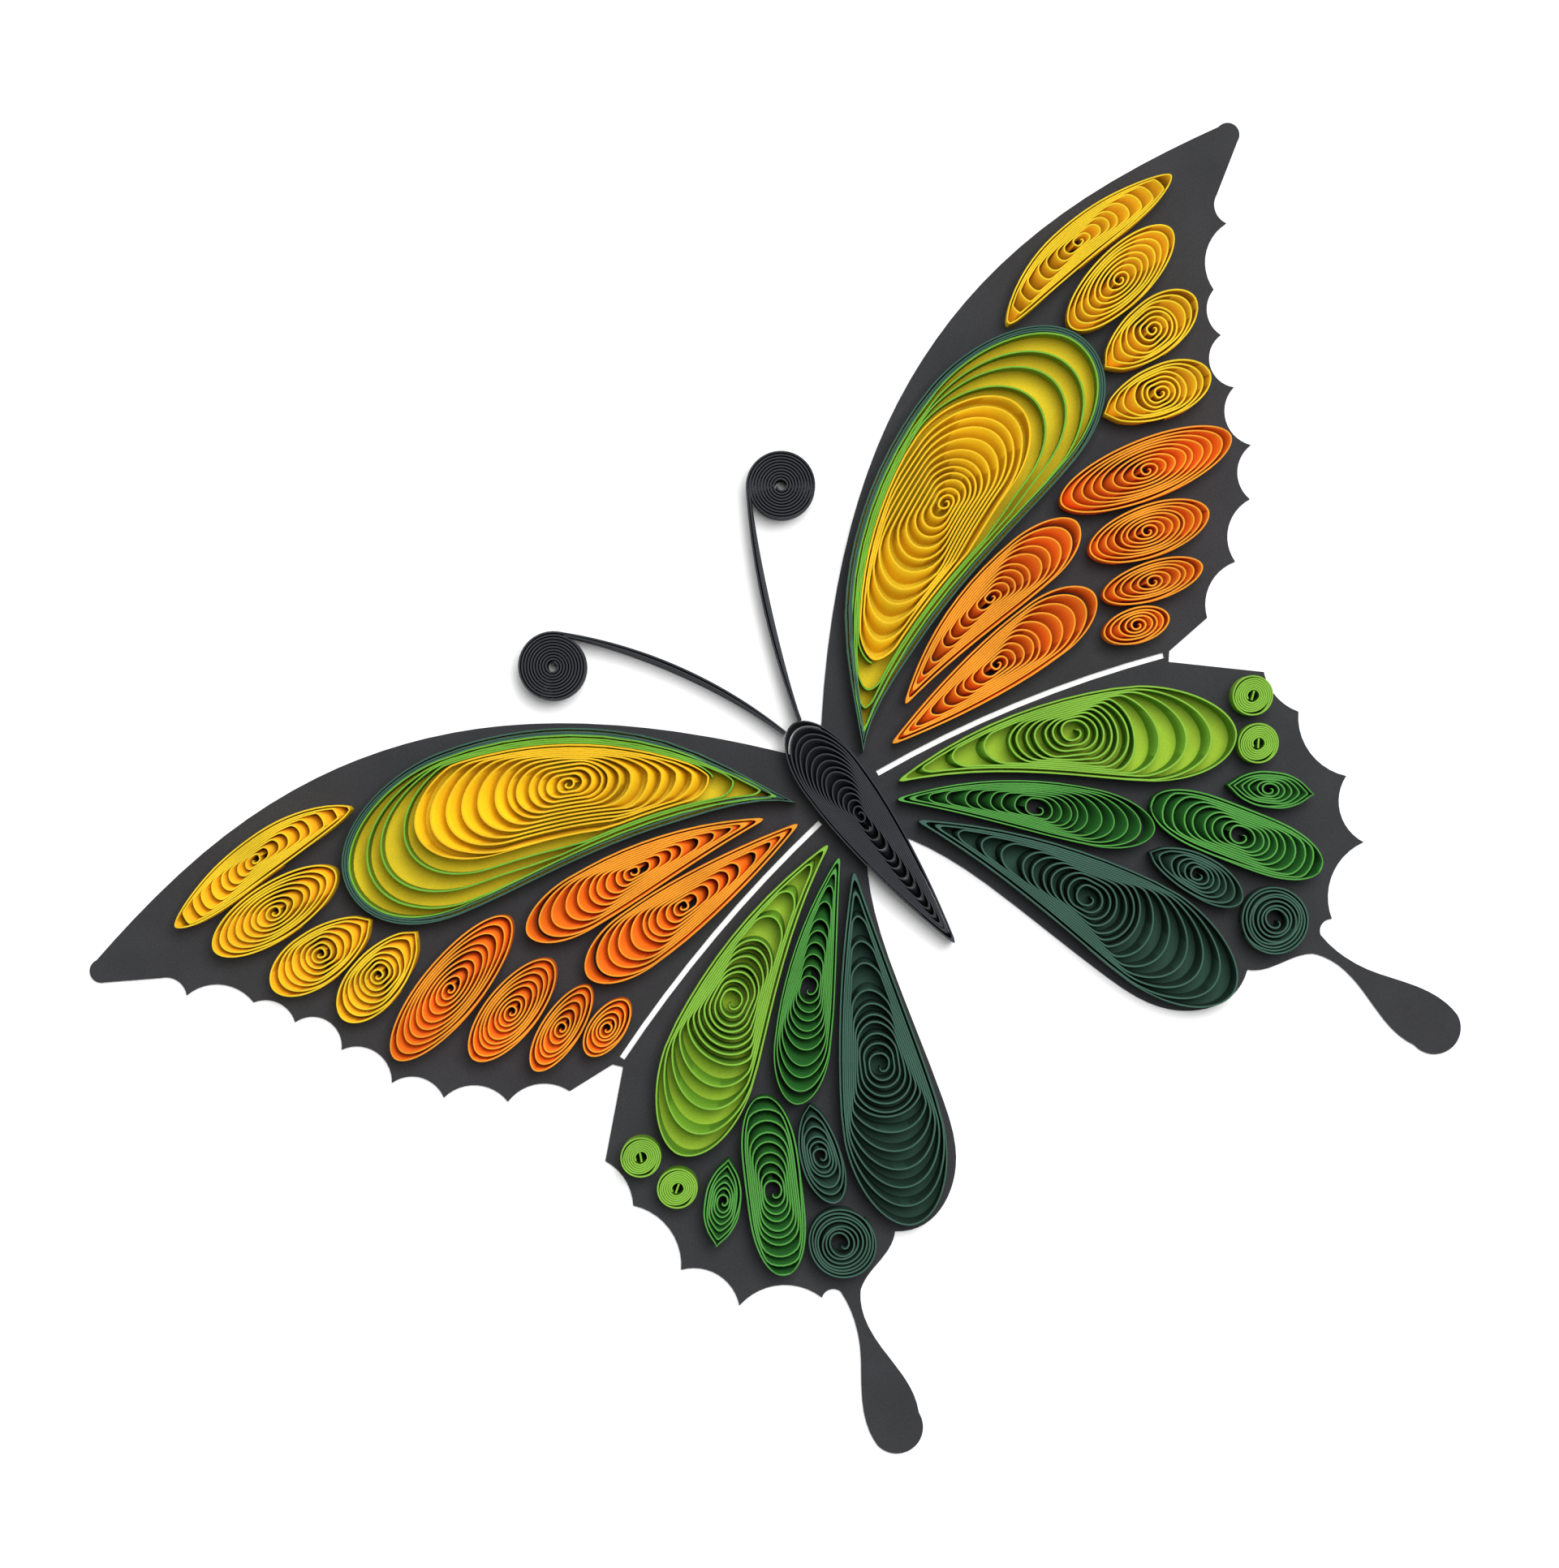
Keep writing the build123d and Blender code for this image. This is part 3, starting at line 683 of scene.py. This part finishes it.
def add_discs(side):
    corner, opening, upward = DISCS[side]
    lower = stepped(corner, opening, DISC_DIAMETER / 2 / math.sin(math.radians(DISC_CORNER / 2)))
    upper = stepped(lower, upward, DISC_DIAMETER + DISC_GAP)
    for name, centre in (("lower", lower), ("upper", upper)):
        node = f"{side}_light_green_{name}_disc"
        draw = random.Random(f"{SEED} {node}")
        radius = DISC_DIAMETER / 2
        place = Place(stepped(centre, 180, radius), stepped(centre, 0, radius), 0.0, 0)
        line = Centreline(place)
        outline = Outline(OVAL._replace(widest=0.5), line.length, radius)
        eye = eye_ring(radius, DISC_HOLE / 2 + PLY, 0, 1.0)
        winding = Winding(line, outline, outer_ring(outline), eye, DISC_TURNS, EVEN, draw, ragged=0.0)
        # The end of the strip, which the slotted needle held, stands across the hole
        across = draw.uniform(*SLIT_ANGLES)
        held = [stepped(centre, across + turned, DISC_HOLE / 2 - INSIDE) for turned in (180, 0)]
        slit = path_strip(held, CARD, draw)
        piece(node, strip_mesh(node, [winding.strip(CARD, hook=False), slit]), "light_green_strip")


def add_antenna(side, line, outline):
    centre, joint, root_angle = ANTENNAE[side]
    node = f"{side}_antenna"
    draw = random.Random(f"{SEED} {node}")
    turning = 1 if side == "left" else -1
    root = outer_turn(line, outline, EYE, draw).point(0, 0.5 + root_angle / 360, -PLY / 2)
    pitch = (CURL_DIAMETER - CURL_HOLE) / 2 / CURL_TURNS
    radius = (CURL_DIAMETER - PLY) / 2

    def curl_point(turn):
        return stepped(centre, joint + turning * 360 * turn, radius - pitch * turn)

    start = curl_point(0)
    chord = math.dist(root, start)
    chord_angle = math.degrees(math.atan2(start[1] - root[1], start[0] - root[0]))
    bend = joint + turning * 90 - chord_angle
    stem = []
    for i in range(STEM_FACETS):
        share = i / STEM_FACETS
        reach = chord * math.sin(math.radians(bend * share)) / math.sin(math.radians(bend))
        stem.append(stepped(root, chord_angle - bend * (1 - share), reach))
    curl = [curl_point(i / CURL_FACETS) for i in range(CURL_TURNS * CURL_FACETS + 1)]
    # The stem's foot leans out to the side that the curl lies on, most in the middle of the stem
    middling = [math.sin(math.pi * i / STEM_FACETS) for i in range(STEM_FACETS)]
    leans = [turning * STEM_LEAN * share for share in middling] + [0.0] * len(curl)
    path = stem + curl
    main = path_strip(path, 0.0, draw, leans)
    # The second layer of the stem lies along the inside of its bend, and ends where the curl begins
    inner_side = []
    for share, (x, y), after in zip(middling, stem, path[1:]):
        offset = turning * (PLY + STEM_GAP + STEM_SPREAD * share) / math.dist((x, y), after)
        inner_side.append((x - (after[1] - y) * offset, y + (after[0] - x) * offset))
    second = path_strip(inner_side, 0.0, draw, leans)
    piece(node, strip_mesh(node, [main, second]), "black_strip")


for side in ("left", "right"):
    for coil in COILS:
        add_coil(coil, side)
    add_great_drop(side)
    add_discs(side)
add_coil(BODY, "right")
body_line = Centreline(BODY.right)
body_outline = Outline(BODY.form, body_line.length, BODY.width / 2)
for side in ("left", "right"):
    add_antenna(side, body_line, body_outline)

# The wing card is shown as the solid that it is, in black card
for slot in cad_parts["wing_card"].material_slots:
    slot.material = PAPERS["black_card"]


def add_floor():
    """A pale floor, just under the card."""
    mesh = bpy.data.meshes.new("floor")
    corners = [(-1, -1), (1, -1), (1, 1), (-1, 1)]
    vertices = [(x * FLOOR_REACH, y * FLOOR_REACH, -FLOOR_DEPTH * MM) for x, y in corners]
    mesh.from_pydata(vertices, [], [(0, 1, 2, 3)])
    floor = bpy.data.objects.new("floor", mesh)
    bpy.context.scene.collection.objects.link(floor)
    material = bpy.data.materials.new("floor_pale")
    shader = tree_of(material).nodes["Principled BSDF"]
    shader.inputs["Base Color"].default_value = (*FLOOR_COLOUR, 1)
    shader.inputs["Roughness"].default_value = FLOOR_ROUGHNESS
    shader.inputs["Specular IOR Level"].default_value = FLOOR_SHEEN
    mesh.materials.append(material)


def add_light(name, direction, out, height, size, power):
    """A square area light that looks at the butterfly. Its place is in metres, out in a direction and up."""
    data = bpy.data.lights.new(name, "AREA")
    data.size = size
    data.energy = power
    light = bpy.data.objects.new(name, data)
    x, y = stepped((0, 0), direction, out)
    light.location = (x, y, height)
    light.rotation_euler = (-light.location).to_track_quat("-Z", "Y").to_euler()
    bpy.context.scene.collection.objects.link(light)


def add_world(strength):
    world = bpy.data.worlds.new("studio")
    bpy.context.scene.world = world
    world.use_nodes = True
    background = world.node_tree.nodes["Background"]
    background.inputs["Color"].default_value = (1, 1, 1, 1)
    background.inputs["Strength"].default_value = strength


def add_camera():
    """Straight above, turned so that the head leans to the left."""
    data = bpy.data.cameras.new("camera")
    data.sensor_fit = "HORIZONTAL"
    data.sensor_width = SENSOR
    data.lens = data.sensor_width * VIEW_HEIGHT / VIEW_WIDTH
    data.clip_start = NEAREST_SEEN
    camera = bpy.data.objects.new("camera", data)
    camera.location = (VIEW_MIDDLE[0] * MM, VIEW_MIDDLE[1] * MM, VIEW_HEIGHT * MM)
    camera.rotation_euler = (0, 0, -math.radians(LEAN))
    bpy.context.scene.collection.objects.link(camera)
    bpy.context.scene.camera = camera


add_floor()
add_light("key", direction=20.0, out=0.15, height=0.6, size=0.25, power=4.0)
add_world(strength=0.5)
add_camera()
bpy.context.scene.view_settings.view_transform = "Standard"
